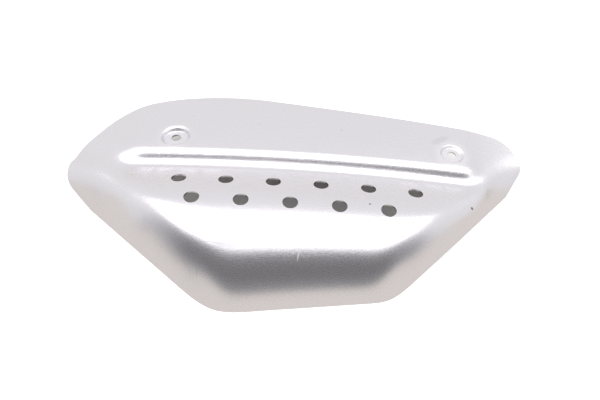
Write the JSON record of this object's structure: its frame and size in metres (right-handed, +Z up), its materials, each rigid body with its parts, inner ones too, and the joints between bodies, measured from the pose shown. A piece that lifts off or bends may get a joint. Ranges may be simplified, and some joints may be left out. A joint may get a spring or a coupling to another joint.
{
  "type": "exhaust heat shield",
  "caption": "Pressed metal heat shield with a bent front wall, drafted corner walls, a long step, vent holes and recessed screw seats in its rear flange.",
  "frame": {"origin": "on the table plane, under the middle of the bounding box", "axes": "X along the length, positive towards the smaller screw seat; Y from the front wall towards the screw flange; Z up"},
  "size_m": [0.3171, 0.1688, 0.0377],
  "materials": {
    "brushed_metal": "satin brushed sheet"
  },
  "bodies": {
    "root": {"heat_shield": "brushed_metal"}
  },
  "joints": []
}
